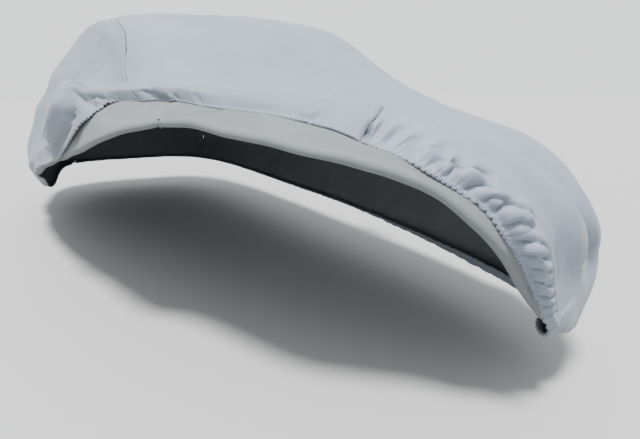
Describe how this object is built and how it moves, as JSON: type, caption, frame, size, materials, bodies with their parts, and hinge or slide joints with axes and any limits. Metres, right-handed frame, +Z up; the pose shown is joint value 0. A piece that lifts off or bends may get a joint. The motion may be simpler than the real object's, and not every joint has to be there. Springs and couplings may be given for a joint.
{
  "type": "car cover",
  "caption": "Fitted cloth cover draped in the shape of a small hatchback, its front right corner peeled up and folded back, with an elastic gathered hem.",
  "frame": {"origin": "the point just under the inside of the roof where the vehicle's roof carries the cover, 1.44 m over the ground", "axes": "+Z up, +Y along the length towards the rear, -Y towards the front, +X towards the vehicle's left side"},
  "size_m": [2.0243, 4.0484, 1.3057],
  "materials": {
    "top_cloth": "matt nonwoven, pale blue-grey outside and pale grey inside",
    "side_cloth": "matt nonwoven, pale grey"
  },
  "bodies": {
    "root": {"top_panel": "top_cloth", "side_panel_right": "side_cloth", "side_panel_left": "side_cloth"}
  },
  "joints": []
}
